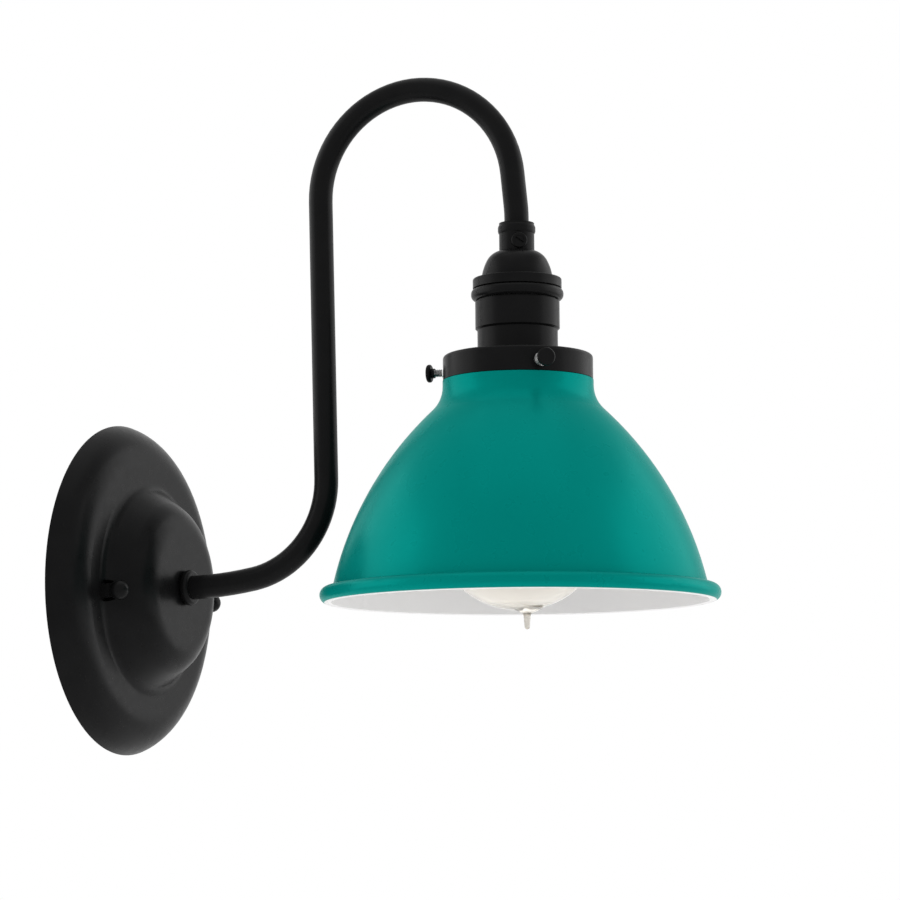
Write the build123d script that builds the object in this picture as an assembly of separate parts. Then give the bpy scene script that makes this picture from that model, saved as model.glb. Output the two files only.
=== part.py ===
from build123d import *
import os
from math import cos, dist, pi, radians, sin, tan

# A gooseneck wall sconce in millimetres. The wall is the plane Y = 0 and the room is at -Y.
# +Z is up. The origin is the middle of the mounting bar, on the wall.

# ---------------------------------------------------------------- canopy
canopy_radius = 71.9
canopy_sheet = 1.0
canopy_depth = 29.0          # wall to the flat middle of the boss
canopy_flat_radius = 24.0
crown_radius = 16.0          # rounding from the flat middle into the boss side
boss_slope = 53.6            # degrees
foot_radius = 6.0            # hollow from the boss side into the ring
ring_height = 12.2
shoulder_turn = 70.0         # of the rolled shoulder, from the ring to the wall
canopy_rise = 3.5            # middle of the canopy and the arm above the bar's centre

# ---------------------------------------------------------------- mounting bar and its screws
bar_length = 104.0
bar_width = 20.0
bar_thickness = 2.0
bar_end_radius = 4.0
box_slot_spacing = 69.85     # 2-3/4 inch junction box ears
box_slot_length = 10.0
box_slot_width = 4.8
bar_centre_hole_radius = 5.2
stud_spacing = 87.4
stud_radius = 2.05
stud_length = 20.2
stud_setback = 0.3           # ends of the studs and the ground screw, clear of the wall
thread_gap = 0.03            # radial, threads drawn as plain round surfaces
jam_nut_flats = 8.7
jam_nut_height = 3.2
ground_screw_x = 18.0
ground_screw_radius = 2.4
ground_flange_radius = 4.4
ground_flange_height = 0.9
ground_head_flats = 7.0
ground_head_height = 2.8

# ---------------------------------------------------------------- ball nuts
ball_radius = 4.2
ball_height = 19.7           # wall to the ball's centre
ball_neck_radius = 3.0
ball_thread_gap = 0.06       # running fit on the stud
ball_thread_past_stud = 0.9
pocket_gap = 0.4             # ball to the pocket beside the boss
stud_hole_gap = 0.35

# ---------------------------------------------------------------- arm
arm_radius = 5.15            # 1/8 inch pipe
arm_wall = 1.2
arm_inner_end = 18.0         # wall to the arm's end inside the canopy
arm_stub_end = 30.2          # wall to the start of the first bend
lead_in_radius = 178.5
lead_in_turn = 10.13
lower_bend_radius = 41.5
lower_bend_turn = 81.0
riser_length = 120.4
hook_radius = 44.4
hook_turn = 175.4
leg_length = 14.0
plumb_radius = 60.0          # last small bend, which brings the arm's end plumb
arm_end_straight = 14.0
arm_in_neck = 12.0
arm_hole_gap = 0.25
collar_radius = 7.7
collar_height = 4.0
collar_rounding = 1.7
lock_washer_radius = 7.2
lock_washer_height = 0.9
lock_washer_split = 1.2
lock_washer_turn = 25.0      # slant of the split
lock_nut_flats = 14.3
lock_nut_height = 4.5
bushing_flange_radius = 4.6
bushing_flange_height = 0.9
bushing_plug_length = 5.0
bushing_gap = 0.05
bushing_bore_radius = 2.5

# ---------------------------------------------------------------- leads
lead_radius = 1.0
lead_offset = 1.15           # of each lead from the arm's axis
lead_clear = 0.15            # lead to the terminal beside it
lead_bed = 6.3               # wall to a lead where it runs down in the canopy
lead_turn = 5.8              # from that run into the arm's end
splice_spread = 12.4         # connectors' distance from the middle
splice_drop = 37.0           # connectors' mouths below the bar's centre
socket_entry = 3.0           # straight lead below the arm's end
socket_splay = 10.5          # height over which a lead moves out to its terminal
ground_wire_radius = 0.8
ground_wire_straight = 8.0   # out of the ring terminal's barrel
ground_swing = 30.0          # furthest point of its loop from the middle
ground_sag = 10.5            # lowest point of its loop below the bar's centre
ground_end = 2.5             # wire's end past the screw
ground_wire_clear = 0.05     # wire to the screw's shank
ring_terminal_radius = 7.4
ring_terminal_thickness = 0.8
ring_barrel_radius = 1.25
ring_barrel_length = 6.0
ring_barrel_angle = -30.0
ring_barrel_overlap = 0.4    # of the barrel with the ring it grows from
ring_barrel_clear = 0.1      # barrel to the lock nut's corners
connector_mouth_radius = 4.2
connector_tip_radius = 3.1
connector_length = 16.0
connector_bore_radius = 1.6
connector_bore_depth = 9.0
lead_in_connector = 5.4      # of each lead inside its connector

# ---------------------------------------------------------------- socket cap
neck_radius = 7.4
neck_height = 11.7
neck_bead_radius = 7.9
neck_bead_height = 5.4
neck_bead_rounding = 2.2
neck_fit_gap = 0.04
neck_passage_radius = 3.6
dome_start_radius = 5.66     # where the dome's top arc would begin, inside the neck
dome_top_radius = 7.94
dome_top_turn = 63.2
dome_side_radius = 22.4
dome_side_turn = 20.5
skirt_radius = 18.65
skirt_height = 4.1
skirt_rounding = 0.6
cap_wall = 1.2
set_screw_drop = 8.5
set_screw_angle = 208.0
set_screw_slot_turn = 58.0   # slot from plumb
set_screw_radius = 2.0
set_screw_length = 3.3
set_screw_tip_gap = 0.1
set_boss_radius = 3.3
set_boss_face = 8.8          # socket axis to the boss's face
slot_width = 0.9
slot_depth = 0.8

# ---------------------------------------------------------------- socket shell
bead_radius = 19.4
bead_height = 5.1
bead_rounding = 2.3
bead_gap = 0.05
shell_groove = 0.7           # narrow neck under the bead
shell_radius = 17.7
shell_height = 11.2
shell_step = 0.8
lower_shell_radius = 16.85
lower_shell_height = 10.6
shell_wall = 1.0
shell_lip_height = 2.7       # shell above the bead, inside the skirt
skirt_fit_gap = 0.06
fitter_thread_radius = 15.85
fitter_thread_length = 11.4
fitter_bore_radius = 15.0

# ---------------------------------------------------------------- socket interior
body_flange_gap = 0.2
body_flange_height = 3.9
body_block_length = 16.0
body_block_width = 13.0
body_block_height = 10.0
contact_slot_width = 6.4
contact_slot_depth = 3.0
contact_slot_margin = 1.4    # past each end of the contact
contact_proud = 0.1          # contact's face below the flange
screw_shell_radius = 13.4    # bore, for a medium screw base
screw_shell_wall = 0.4
screw_shell_length = 23.0
screw_shell_window = 7.5
terminal_rivet_offset = 2.6  # block's face to the rivet in a terminal's foot
rivet_radius = 1.1
rivet_head_radius = 1.7
rivet_head_height = 0.6
sleeve_gap = 0.3
sleeve_wall = 0.6
cap_liner_gap = 0.1
contact_strip_width = 4.6
contact_strip_thickness = 0.5
contact_bend_inset = 1.4     # bend of the tongue inside the block's face
contact_hinge_gap = 0.05     # root to tongue
contact_pad_x = -2.2
contact_tip_x = 2.6
terminal_width = 8.0
terminal_height = 9.0
terminal_thickness = 0.8
terminal_foot = 4.4
terminal_screw_rise = 5.0    # above the flange of the socket body
terminal_screw_radius = 1.7
terminal_screw_length = 5.0
terminal_head_radius = 2.8
terminal_head_height = 1.8

# ---------------------------------------------------------------- shade holder
holder_radius = 31.4
holder_height = 10.4
holder_sheet = 1.0
holder_rounding = 1.5
holder_thread_gap = 0.1
ring_nut_radius = 19.5
ring_nut_height = 3.5
ring_nut_notches = 4
ring_nut_notch = 2.4
thumb_angles = (98.0, 218.0, 338.0)
thumb_rise = 4.4             # above the holder's lower edge
insert_radius = 2.9
insert_neck_radius = 2.15
insert_proud = 0.6           # bushing past each face of the holder's wall
thumb_radius = 1.65
thumb_thread_gap = 0.06
thumb_tip_gap = 0.2
thumb_head_radius = 3.8
thumb_head_height = 2.1
thumb_head_face = 39.2       # socket axis to the head's outer face
thumb_head_rounding = 0.9
thumb_hub_radius = 2.05
thumb_hub_height = 1.3
thumb_head_cover = 0.9       # of the head over the shank's end
thumb_end_gap = 0.1          # shank's end to the bottom of the head's bore
thumb_tip_chamfer = 0.3

# ---------------------------------------------------------------- shade
shade_sheet = 1.0
shade_gap = 0.3              # under the holder's edge
shade_neck_radius = 27.3     # gripped by the thumbscrews
shade_lip_radius = 28.55     # 2-1/4 inch fitter
shade_lip_bead = 0.8
shade_lip_clear = 0.1        # lip above the thumbscrews
shade_collar_radius = 31.6
shade_collar_height = 2.3
shade_hollow_radius = 14.25
shade_hollow_turn = 46.7
shade_dome_radius = 143.4
shade_dome_turn = 33.3
shade_skirt_length = 5.7     # straight below the dome, down to the rim's centre
rim_outset = 1.2             # rim's centre outside the sheet's outer face
rim_radius = 3.4
rim_lip_rounding = 0.35

# ---------------------------------------------------------------- bulb
bulb_gap = 0.05              # foot contact to the socket's tongue
foot_radius_top = 2.6
foot_radius_low = 4.7
foot_contact_height = 1.2
insulator_height = 3.0
insulator_radius = 9.6
base_radius = 13.0
base_sheet = 0.3
base_lip = 1.5               # of the base shell under the insulator's edge
base_shoulder = 3.0
base_length = 21.5
base_threads = 4
base_pitch = 3.629           # seven threads to the inch
base_thread_depth = 0.8
glass_wall = 0.7
cement_gap = 0.03            # glass neck to the base shell
glass_in_base = 9.0
throat_radius = 50.0
cone_slope = 22.0
knuckle_radius = 21.8
floor_radius = 37.1
floor_turn = 37.0
glass_floor_drop = 162.8     # neck top to the bottom of the glass
tip_length = 8.0
tip_offset = 3.0             # drawn tip off the bulb's axis, away from the wall
tip_end_radius = 1.1
tip_end_turn = 84.0
tip_root_radius = 1.5
tip_root_drop = 2.4          # lowest point of the glass's floor to the tip's root
tip_flare_radius = 1.6
tip_flare_turn = 62.0
tip_funnel_length = 5.0
stem_flare_height = 10.0
stem_tube_radius = 3.4
stem_rod_radius = 1.5
stem_button_radius = 2.4
stem_press_drop = 99.0       # neck top to the end of the stem's press
stem_press_height = 8.0
cage_top_drop = 104.0
cage_low_drop = 145.0
cage_top_radius = 7.5
cage_low_radius = 11.0
cage_legs = 14
filament_radius = 0.28
filament_corner = 1.1
support_radius = 0.22
support_seat = 1.44          # stem's axis to the start of each support
support_offset = 0.22        # support's level from the filament's turn
feed_wire_radius = 0.3
feed_wire_sealed = 4.0       # of each wire in the stem's press
feed_wire_inset = 1.2        # each wire's axis inside the press's surface


# ---------------------------------------------------------------- shared helpers
def rod(radius, low, high):
    """A round bar about Z, between two heights."""
    return Pos(0, 0, (low + high) / 2) * Cylinder(radius, high - low)


def ring(outer, inner, low, high):
    """A plain ring about Z, between two heights."""
    return rod(outer, low, high) - rod(inner, low, high)


def hexagon(flats, low, high):
    """A hexagonal bar about Z, between two heights."""
    outline = RegularPolygon(flats / 2, 6, major_radius=False)
    return Pos(0, 0, low) * extrude(outline, high - low)


def turned(edges):
    """Revolve a closed outline of (radius, height) about Z."""
    return revolve(Plane.XZ * make_face(edges), Axis.Z)


def on_wall(shape, x, z):
    """Point a shape built along +Z out of the wall, at x, z."""
    return Location((x, 0, z), (90, 0, 0)) * shape


def in_socket(shape):
    """Place a shape built about the socket's axis, with zero at the top of the neck."""
    return Location((0, -socket_reach, neck_top)) * shape


def radially(shape, angle, level):
    """Point a shape built along +Z away from the socket's axis, at an angle and a level."""
    return Pos(0, 0, level) * Rot(0, 0, angle) * Rot(0, 90, 0) * shape


def slot_across(radius, face):
    """A screwdriver slot across a face that looks along +Z."""
    return Pos(0, 0, face - slot_depth / 2) * Box(2 * radius + 1, slot_width, slot_depth)


def soft_radii(points):
    """The largest fillet for each corner of a lead's route: 0.45 of its shorter run."""
    radii = []
    for before, corner, after in zip(points, points[1:], points[2:]):
        turn = (Vector(corner) - Vector(before)).get_angle(Vector(after) - Vector(corner))
        shorter = min(dist(before, corner), dist(corner, after))
        radii.append(0.45 * shorter / tan(radians(turn / 2)))
    return radii


def soft_route(points, name):
    """Straight runs joined by tangent arcs, with the corners' radii printed."""
    radii = soft_radii(points)
    print(name, "corner radii:", *[round(radius, 1) for radius in radii])
    return FilletPolyline(*points, radius=radii)


def wire_along(path, radius):
    """A round wire along a path, checked against its section times its length."""
    solid = sweep(Plane(origin=path @ 0, z_dir=path % 0) * Circle(radius), path=path)
    expected = pi * radius ** 2 * path.length
    assert abs(solid.volume / expected - 1) < 0.01, "a wire was swept wrongly"
    return solid


def rod_between(start, end, radius):
    """A straight round wire between two points."""
    return wire_along(Line(start, end), radius)


def save(shape, name):
    """Write one node."""
    export_step(shape, f"parts/{name}.step")


# ---------------------------------------------------------------- places worked out from the sizes
arm_height = canopy_rise
shoulder_radius = ring_height / (1 - cos(radians(shoulder_turn)))
ring_outer = canopy_radius - shoulder_radius * sin(radians(shoulder_turn))
stud_places = (-stud_spacing / 2, stud_spacing / 2)
canopy_inside = canopy_depth - canopy_sheet
washer_back = canopy_inside - lock_washer_height
terminal_back = washer_back - ring_terminal_thickness
nut_back = terminal_back - lock_nut_height
stud_tip = stud_setback + stud_length


def arm_curves():
    """The arm's centreline in the plane of its bends, as (distance from the wall, height)."""
    stub = Line((arm_inner_end, arm_height), (arm_stub_end, arm_height))
    lead_in = JernArc(stub @ 1, stub % 1, lead_in_radius, lead_in_turn)
    lower_bend = JernArc(lead_in @ 1, lead_in % 1, lower_bend_radius, lower_bend_turn)
    riser = PolarLine(lower_bend @ 1, riser_length, direction=lower_bend % 1)
    hook = JernArc(riser @ 1, riser % 1, hook_radius, -hook_turn)
    leg = PolarLine(hook @ 1, leg_length, direction=hook % 1)
    plumb_turn = 90 + lead_in_turn + lower_bend_turn - hook_turn
    plumb = JernArc(leg @ 1, leg % 1, plumb_radius, -plumb_turn)
    end = PolarLine(plumb @ 1, arm_end_straight, direction=(0, -1))
    return [stub, lead_in, lower_bend, riser, hook, leg, plumb, end]


def arm_plane(x):
    """A plane beside the arm's bends: its x runs out of the wall, its y runs up."""
    return Plane(origin=(x, 0, 0), x_dir=(0, -1, 0), z_dir=(-1, 0, 0))


arm_tip = arm_curves()[-1] @ 1
socket_reach = arm_tip.X
neck_top = arm_tip.Y + arm_in_neck

# levels of the socket and shade, below the top of the neck
dome_foot = -(neck_height + dome_top_radius * (1 - cos(radians(dome_top_turn)))
              + dome_side_radius * (cos(radians(dome_top_turn))
                                    - cos(radians(dome_top_turn + dome_side_turn))))
dome_foot_radius = (dome_start_radius
                    + dome_top_radius * sin(radians(dome_top_turn))
                    + dome_side_radius * (sin(radians(dome_top_turn + dome_side_turn))
                                          - sin(radians(dome_top_turn))))
skirt_end = dome_foot - skirt_height
bead_end = skirt_end - bead_height
shell_top = bead_end - shell_groove
shell_end = shell_top - shell_height
lower_top = shell_end - shell_step
holder_top = lower_top - lower_shell_height
holder_end = holder_top - holder_height
ring_nut_top = holder_top - holder_sheet
fitter_end = holder_top - fitter_thread_length
body_seat = shell_end + 2 * shell_wall
shell_bore = shell_radius - shell_wall
body_top = body_seat + body_flange_height
screw_shell_end = body_seat - screw_shell_length
contact_face = body_seat - contact_proud
thumb_level = holder_end + thumb_rise
insert_outer_face = holder_radius + insert_proud
insert_inner_face = holder_radius - holder_sheet - insert_proud
shade_top = holder_end - shade_gap
bulb_top = contact_face - bulb_gap
block_face = body_block_length / 2
terminal_rivet_x = block_face + terminal_rivet_offset
contact_root_x = -(block_face + terminal_foot)
contact_bend_x = contact_bend_inset - block_face
terminal_wire_x = block_face + terminal_thickness + lead_radius + lead_clear
terminal_wire_end = body_top + terminal_screw_rise + terminal_head_radius + lead_clear
glass_neck_radius = base_radius - base_thread_depth / 2 - base_sheet - cement_gap


# ---------------------------------------------------------------- canopy and what fastens it
def canopy_solid(inset):
    """Everything under one face of the canopy's wall, about +Z out of the wall."""
    turn = radians(boss_slope)
    fall = canopy_depth - ring_height - (crown_radius + foot_radius) * (1 - cos(turn))
    flat = Line((0, canopy_depth - inset), (canopy_flat_radius, canopy_depth - inset))
    crown = JernArc(flat @ 1, flat % 1, crown_radius - inset, -boss_slope)
    side = PolarLine(crown @ 1, fall / sin(turn), direction=crown % 1)
    foot = JernArc(side @ 1, side % 1, foot_radius + inset, boss_slope)
    level = Line(foot @ 1, (ring_outer, ring_height - inset))
    shoulder = JernArc(level @ 1, (1, 0), shoulder_radius - inset, -shoulder_turn)
    back = Line(shoulder @ 1, (0, (shoulder @ 1).Y))
    axis = Line(back @ 1, flat @ 0)
    return turned([flat, crown, side, foot, level, shoulder, back, axis])


def make_canopy():
    """Spun wall plate with a hole for the arm and a pocket beside the boss for each ball nut."""
    outside = canopy_solid(0)
    shell = outside - canopy_solid(canopy_sheet)
    pocket_radius = ball_radius + pocket_gap
    pocket_floor = ring_height - canopy_sheet
    for x in stud_places:
        cup = rod(pocket_radius + canopy_sheet, pocket_floor, canopy_depth)
        shell += Pos(x, -canopy_rise, 0) * cup & outside
    for x in stud_places:
        shell -= Pos(x, -canopy_rise, 0) * rod(pocket_radius, ring_height, canopy_depth)
        shell -= Pos(x, -canopy_rise, 0) * rod(stud_radius + stud_hole_gap, 0, ring_height)
    shell -= rod(arm_radius + arm_hole_gap, 0, canopy_depth)
    return on_wall(shell, 0, canopy_rise)


def make_mounting_bar():
    """Flat bar with two box slots, two tapped stud holes, a grounding hole and a wire hole."""
    outline = RectangleRounded(bar_length, bar_width, bar_end_radius)
    outline -= Circle(bar_centre_hole_radius)
    for x in stud_places:
        outline -= Pos(x, 0) * Circle(stud_radius + thread_gap)
    for x in (-box_slot_spacing / 2, box_slot_spacing / 2):
        outline -= Pos(x, 0) * SlotOverall(box_slot_length, box_slot_width)
    outline -= Pos(ground_screw_x, 0) * Circle(ground_screw_radius + thread_gap)
    return on_wall(extrude(outline, bar_thickness), 0, 0)


def make_studs():
    """Two headless studs through the bar, which carry the ball nuts."""
    stud = chamfer(rod(stud_radius, stud_setback, stud_tip).edges(), stud_radius / 5)
    return Compound([on_wall(stud, x, 0) for x in stud_places])


def make_jam_nuts():
    """Two hexagon nuts that lock the studs on the bar."""
    nut = hexagon(jam_nut_flats, bar_thickness, bar_thickness + jam_nut_height)
    nut -= rod(stud_radius + thread_gap, 0, stud_tip)
    return Compound([on_wall(nut, x, 0) for x in stud_places])


def make_ground_screw():
    """Hexagon screw with a flange, which clamps the ground wire on the bar."""
    under_head = bar_thickness + 2 * ground_wire_radius
    flange_top = under_head + ground_flange_height
    screw = rod(ground_screw_radius, stud_setback, flange_top)
    screw += rod(ground_flange_radius, under_head, flange_top)
    screw += hexagon(ground_head_flats, flange_top, flange_top + ground_head_height)
    return on_wall(screw, ground_screw_x, 0)


def make_ball_nut(x):
    """Ball on a short neck, with a blind tapped hole for the stud."""
    nut = Pos(0, 0, ball_height) * Sphere(ball_radius)
    nut += rod(ball_neck_radius, ring_height, ball_height)
    nut -= rod(stud_radius + ball_thread_gap, 0, stud_tip + ball_thread_past_stud)
    return on_wall(nut, x, 0)


# ---------------------------------------------------------------- arm
def make_arm():
    """Bent tube from inside the canopy to inside the socket's neck."""
    path = arm_plane(0) * Wire(arm_curves())
    section = Circle(arm_radius) - Circle(arm_radius - arm_wall)
    return sweep(Plane(origin=path @ 0, z_dir=path % 0) * section, path=path)


def make_arm_collar():
    """Round bead on the arm, against the canopy's face."""
    collar = rod(collar_radius, canopy_depth, canopy_depth + collar_height)
    collar = fillet(collar.edges().filter_by(GeomType.CIRCLE), collar_rounding)
    collar -= rod(arm_radius + thread_gap, 0, canopy_depth + collar_height)
    return on_wall(collar, 0, arm_height)


def make_lock_washer():
    """Split washer between the canopy and the ring terminal."""
    washer = ring(lock_washer_radius, arm_radius + thread_gap, washer_back, canopy_inside)
    gap = Box(lock_washer_radius, lock_washer_split, 3 * lock_washer_height)
    washer -= Pos(-lock_washer_radius, 0, washer_back) * Rot(0, 0, lock_washer_turn) * gap
    return on_wall(washer, 0, arm_height)


def make_lock_nut():
    """Hexagon nut that clamps the arm in the canopy."""
    nut = hexagon(lock_nut_flats, nut_back, terminal_back)
    nut -= rod(arm_radius + thread_gap, 0, canopy_depth)
    return on_wall(nut, 0, arm_height)


def make_wire_bushing():
    """Insulating bushing pressed in the arm's inner end."""
    plug_radius = arm_radius - arm_wall - bushing_gap
    bushing = rod(bushing_flange_radius, arm_inner_end - bushing_flange_height, arm_inner_end)
    bushing += rod(plug_radius, arm_inner_end, arm_inner_end + bushing_plug_length)
    bushing -= rod(bushing_bore_radius, 0, canopy_depth)
    return on_wall(bushing, 0, arm_height)


# ---------------------------------------------------------------- leads
def wall_point(x, out, up):
    """A point given by its place across, its distance from the wall and its height."""
    return (x, -out, up)


def lead_route(side, name):
    """One lead's route from its connector, through the arm, to its terminal."""
    x = side * lead_offset
    in_canopy = [
        wall_point(side * splice_spread, lead_bed, -splice_drop),
        wall_point(side * splice_spread * 0.97, lead_bed, -splice_drop * 0.78),
        wall_point(side * splice_spread * 0.73, lead_bed, -splice_drop * 0.54),
        wall_point(side * splice_spread * 0.26, lead_bed, -splice_drop * 0.31),
        wall_point(x, lead_bed, arm_height - lead_turn),
        wall_point(x, lead_bed + lead_turn, arm_height),
        wall_point(x, arm_stub_end, arm_height),
    ]
    bends = [arm_plane(x) * curve for curve in arm_curves()[1:-1]]
    far = side * terminal_wire_x
    entry = neck_top - arm_in_neck - socket_entry
    in_cap = [
        (x, -socket_reach, neck_top - arm_in_neck + arm_end_straight),
        (x, -socket_reach, entry),
        (far, -socket_reach, entry - socket_splay),
        (far, -socket_reach, neck_top + terminal_wire_end),
    ]
    canopy_end = soft_route(in_canopy, f"{name} in the canopy")
    cap_end = soft_route(in_cap, f"{name} in the cap")
    return Wire([*canopy_end.edges(), *bends, *cap_end.edges()])


def make_connectors(routes):
    """Twist-on connectors, one on the end of each lead in the canopy."""
    cone = Pos(0, 0, connector_length / 2) * Cone(
        connector_mouth_radius, connector_tip_radius, connector_length)
    cone = fillet(cone.edges().group_by(Axis.Z)[-1], connector_tip_radius / 3)
    cone -= rod(connector_bore_radius, 0, connector_bore_depth)
    pieces = []
    for route in routes:
        along = route % 0
        mouth = route @ 0 + along * lead_in_connector
        pieces.append(Plane(origin=mouth, z_dir=along * -1) * cone)
    return Compound(pieces)


def ring_barrel_point(distance):
    """A point on the ring terminal's barrel, by its distance from the arm's axis."""
    turn = radians(ring_barrel_angle)
    middle = terminal_back + ring_terminal_thickness - ring_barrel_radius
    return wall_point(distance * cos(turn), middle, arm_height + distance * sin(turn))


def make_ring_terminal():
    """Ring under the arm's lock nut, with a crimped barrel for the ground wire."""
    plate = ring(ring_terminal_radius, arm_radius + thread_gap, terminal_back, washer_back)
    plate = on_wall(plate, 0, arm_height)
    barrel_start = ring_barrel_point(ring_terminal_radius - ring_barrel_overlap)
    barrel_end = ring_barrel_point(ring_terminal_radius + ring_barrel_length)
    barrel = rod_between(barrel_start, barrel_end, ring_barrel_radius)
    room = rod(lock_nut_flats / 2 / cos(pi / 6) + ring_barrel_clear, 0, terminal_back)
    barrel -= on_wall(room, 0, arm_height)
    return plate + barrel


def make_ground_lead():
    """Bare wire from the ring terminal to the grounding screw on the bar."""
    beside_screw = -(ground_screw_radius + ground_wire_radius + ground_wire_clear)
    on_bar = bar_thickness + ground_wire_radius
    barrel_end = ring_terminal_radius + ring_barrel_length
    route = [
        ring_barrel_point(barrel_end),
        ring_barrel_point(barrel_end + ground_wire_straight),
        wall_point(ground_swing * 0.9, canopy_inside * 0.64, -ground_sag),
        wall_point(ground_swing, canopy_inside * 0.34, -ground_sag * 0.76),
        wall_point(ground_swing * 0.9, on_bar, beside_screw),
        wall_point(ground_screw_x - ground_end, on_bar, beside_screw),
    ]
    return wire_along(soft_route(route, "ground lead"), ground_wire_radius)


# ---------------------------------------------------------------- socket cap
def dome_solid(inset):
    """Everything under one face of the dome."""
    start = (dome_start_radius, -neck_height - inset)
    top = JernArc(start, (1, 0), dome_top_radius - inset, -dome_top_turn)
    side = JernArc(top @ 1, top % 1, dome_side_radius - inset, -dome_side_turn)
    lid = Line((0, -neck_height - inset), start)
    floor = Line(side @ 1, (0, (side @ 1).Y))
    axis = Line(floor @ 1, lid @ 0)
    return turned([top, side, lid, floor, axis])


def make_socket_cap():
    """Neck with a bead and a set-screw boss, dome and skirt, in one turned piece."""
    bead = rod(neck_bead_radius, -neck_bead_height, 0)
    bead = fillet(bead.edges().filter_by(GeomType.CIRCLE), neck_bead_rounding)
    skirt = rod(skirt_radius, skirt_end, dome_foot)
    skirt = fillet(skirt.edges().group_by(Axis.Z)[-1], skirt_rounding)
    boss = rod(set_boss_radius, 0, set_boss_face)
    boss = fillet(boss.edges().group_by(Axis.Z)[-1], skirt_rounding)
    cap = rod(neck_radius, -neck_height - cap_wall, 0)
    cap += bead
    cap += radially(boss, set_screw_angle, -set_screw_drop)
    cap += dome_solid(0)
    cap += skirt
    cap -= rod(arm_radius + neck_fit_gap, -arm_in_neck, 0)
    cap -= rod(neck_passage_radius, dome_foot, 0)
    cap -= dome_solid(cap_wall)
    cap -= rod(dome_foot_radius - cap_wall, skirt_end, dome_foot)
    cap -= rod(skirt_radius - cap_wall, skirt_end, dome_foot - cap_wall)
    cap -= radially(rod(set_screw_radius + thread_gap, arm_radius, set_boss_face),
                    set_screw_angle, -set_screw_drop)
    return in_socket(cap)


def make_set_screw():
    """Slotted screw in the neck's boss, which grips the arm."""
    tip = arm_radius + set_screw_tip_gap
    screw = rod(set_screw_radius, tip, tip + set_screw_length)
    screw -= Rot(0, 0, set_screw_slot_turn) * slot_across(set_screw_radius, tip + set_screw_length)
    return in_socket(radially(screw, set_screw_angle, -set_screw_drop))


# ---------------------------------------------------------------- socket shell
def make_bead_ring():
    """Round bead clamped between the cap's skirt and the shell's shoulder."""
    bead = rod(bead_radius, bead_end, skirt_end)
    bead = fillet(bead.edges().filter_by(GeomType.CIRCLE), bead_rounding)
    bead -= rod(shell_radius - shell_step + bead_gap, bead_end, skirt_end)
    return in_socket(bead)


def make_socket_shell():
    """Stepped shell: lip in the skirt, seat for the bead, body, and thread for the holder."""
    lip_radius = skirt_radius - cap_wall - skirt_fit_gap
    seat_radius = shell_radius - shell_step
    shell = rod(seat_radius, bead_end, skirt_end + shell_lip_height)
    shell += rod(lip_radius, skirt_end, skirt_end + shell_lip_height)
    shell += rod(seat_radius, shell_top, bead_end)
    shell += rod(shell_radius, shell_end, shell_top)
    cone = Pos(0, 0, (shell_end + lower_top) / 2) * Cone(
        lower_shell_radius, shell_radius, shell_step)
    shell += cone
    shell += rod(lower_shell_radius, holder_top, lower_top)
    shell += rod(fitter_thread_radius, fitter_end, holder_top)
    shell -= rod(seat_radius - shell_wall, body_seat, skirt_end + shell_lip_height)
    shell -= rod(fitter_bore_radius, fitter_end, body_seat)
    return in_socket(shell)


# ---------------------------------------------------------------- socket interior
interior_radius = shell_radius - shell_step - shell_wall


def make_cap_liner():
    """Insulating liner between the leads' terminals and the metal shell."""
    outer = interior_radius - cap_liner_gap
    return in_socket(ring(outer, outer - sleeve_wall, body_top, skirt_end + shell_lip_height))


def make_shell_sleeve():
    """Insulating sleeve between the screw shell and the metal shell."""
    outer = fitter_bore_radius - sleeve_gap
    return in_socket(ring(outer, outer - sleeve_wall, fitter_end + sleeve_gap, body_seat))


def rivet_places():
    """Centres of the three rivets that hold the screw shell."""
    return [Rot(0, 0, angle) * Pos(terminal_rivet_x, 0, 0) for angle in (0, 120, 240)]


def make_socket_body():
    """Moulded body: flange on the shell's seat, block for the terminals, slot for the tongue."""
    body = rod(interior_radius - body_flange_gap, body_seat, body_top)
    block = Box(body_block_length, body_block_width, body_block_height)
    body += Pos(0, 0, body_top + body_block_height / 2) * block
    slot_length = contact_tip_x - contact_root_x + 2 * contact_slot_margin
    slot = Box(slot_length, contact_slot_width, contact_slot_depth)
    slot_middle = (contact_tip_x + contact_root_x) / 2
    body -= Pos(slot_middle, 0, body_seat + contact_slot_depth / 2) * slot
    for place in rivet_places():
        body -= place * rod(rivet_radius, body_seat, body_top)
    body -= Pos(-terminal_rivet_x, 0, 0) * rod(rivet_radius, body_seat, body_top)
    for angle in (0, 180):
        shank = rod(terminal_screw_radius, block_face - terminal_screw_length, block_face)
        body -= radially(shank, angle, body_top + terminal_screw_rise)
    return in_socket(body)


def make_screw_shell():
    """Screw shell of the socket, with a pierced top that is riveted under the body."""
    outer = screw_shell_radius + screw_shell_wall
    shell = ring(outer, screw_shell_radius, screw_shell_end, body_seat)
    shell += ring(outer, screw_shell_window, body_seat - screw_shell_wall, body_seat)
    for place in rivet_places():
        shell -= place * rod(rivet_radius, body_seat - screw_shell_wall, body_seat)
    return in_socket(shell)


def make_shell_rivets():
    """Three rivets through the screw shell's top and the body's flange."""
    low = body_seat - screw_shell_wall
    high = body_top + terminal_thickness
    rivet = rod(rivet_radius, low, high)
    rivet += rod(rivet_head_radius, low - rivet_head_height, low)
    plain = rivet - rod(rivet_radius + 1, body_top, high)
    plain += rod(rivet_head_radius, body_top, body_top + rivet_head_height)
    riveted = rivet + rod(rivet_head_radius, high, high + rivet_head_height)
    first, *others = rivet_places()
    return Compound([in_socket(first * riveted), *[in_socket(p * plain) for p in others]])


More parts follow.
